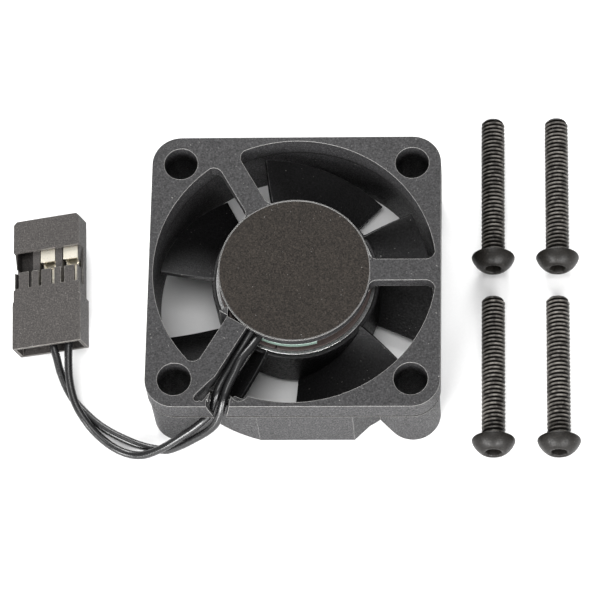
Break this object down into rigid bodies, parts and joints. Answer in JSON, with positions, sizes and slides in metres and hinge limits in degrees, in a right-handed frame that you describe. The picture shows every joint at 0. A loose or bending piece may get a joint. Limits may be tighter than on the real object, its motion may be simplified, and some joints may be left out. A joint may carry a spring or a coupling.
{
  "type": "cooling fan",
  "caption": "Flat square axial cooling fan for a speed controller, with a wire lead ending in a servo plug, and loose button-head mounting screws.",
  "frame": {"origin": "fan axis on the inlet face, which is the centre of the mounting hole square", "axes": "+Z along the fan axis towards the outlet face with the struts, +X towards the plain strut at three o'clock, +Y towards the rear side of the frame; the lead leaves at -X -Y"},
  "size_m": [0.0595, 0.038, 0.01],
  "materials": {
    "fan_plastic": "fine moulded speckle",
    "impeller_plastic": "fine moulded speckle",
    "label_film": "blank matt film",
    "tube_brass": "machined",
    "lamination_steel": "stacked sheet",
    "insulator_plastic": "moulded",
    "coil_enamel": "enamelled copper wire",
    "circuit_board": "solder mask",
    "chip_plastic": "moulded epoxy",
    "capacitor_ceramic": "fired ceramic",
    "solder": "bright",
    "bearing_steel": "ground",
    "ball_steel": "polished",
    "yoke_steel": "zinc plated",
    "magnet_rubber": "bonded ferrite",
    "shaft_steel": "ground",
    "spring_steel": "drawn wire",
    "ring_steel": "black oxide",
    "wire_insulation": "satin black",
    "plug_plastic": "moulded",
    "contact_gold": "gold flash",
    "black_oxide": "black oxide on steel"
  },
  "bodies": {
    "fan_frame": {"frame": "fan_plastic", "label": "label_film", "bearing_tube": "tube_brass", "stator_core": "lamination_steel", "upper_insulator": "insulator_plastic", "lower_insulator": "insulator_plastic", "coil_1": "coil_enamel", "coil_2": "coil_enamel", "coil_3": "coil_enamel", "coil_4": "coil_enamel", "circuit_board": "circuit_board", "driver_chip": "chip_plastic", "hall_sensor": "chip_plastic", "chip_capacitors": "capacitor_ceramic", "solder_joints": "solder", "upper_bearing_outer_ring": "bearing_steel", "lower_bearing_outer_ring": "bearing_steel", "positive_wire": "wire_insulation", "negative_wire": "wire_insulation", "plug_housing": "plug_plastic", "positive_terminal": "contact_gold", "negative_terminal": "contact_gold"},
    "rotor": {"impeller": "impeller_plastic", "rotor_yoke": "yoke_steel", "magnet_ring": "magnet_rubber", "shaft": "shaft_steel", "shaft_bush": "tube_brass", "preload_spring": "spring_steel", "retaining_ring": "ring_steel", "upper_bearing_inner_ring": "bearing_steel", "lower_bearing_inner_ring": "bearing_steel"},
    "bearing_balls": {"upper_bearing_balls": "ball_steel", "lower_bearing_balls": "ball_steel"},
    "loose_screw_1": {"mounting_screw_1": "black_oxide"},
    "loose_screw_2": {"mounting_screw_2": "black_oxide"},
    "loose_screw_3": {"mounting_screw_3": "black_oxide"},
    "loose_screw_4": {"mounting_screw_4": "black_oxide"}
  },
  "joints": [
    {"name": "impeller_spin", "type": "hinge", "parent": "fan_frame", "child": "rotor", "pos_m": [0, 0, 0.005], "axis": [0, 0, -1], "continuous": true},
    {"name": "ball_orbit", "type": "hinge", "parent": "fan_frame", "child": "bearing_balls", "pos_m": [0, 0, 0.006], "axis": [0, 0, -1], "continuous": true},
    {"name": "screw_1_lift", "type": "slide", "parent": "fan_frame", "child": "loose_screw_1", "axis": [0, 0, 1], "range_m": [0, 0.03]},
    {"name": "screw_2_lift", "type": "slide", "parent": "fan_frame", "child": "loose_screw_2", "axis": [0, 0, 1], "range_m": [0, 0.03]},
    {"name": "screw_3_lift", "type": "slide", "parent": "fan_frame", "child": "loose_screw_3", "axis": [0, 0, 1], "range_m": [0, 0.03]},
    {"name": "screw_4_lift", "type": "slide", "parent": "fan_frame", "child": "loose_screw_4", "axis": [0, 0, 1], "range_m": [0, 0.03]}
  ],
  "couplings": [
    {"joint": "ball_orbit", "follows": "impeller_spin", "ratio": 0.3545}
  ]
}
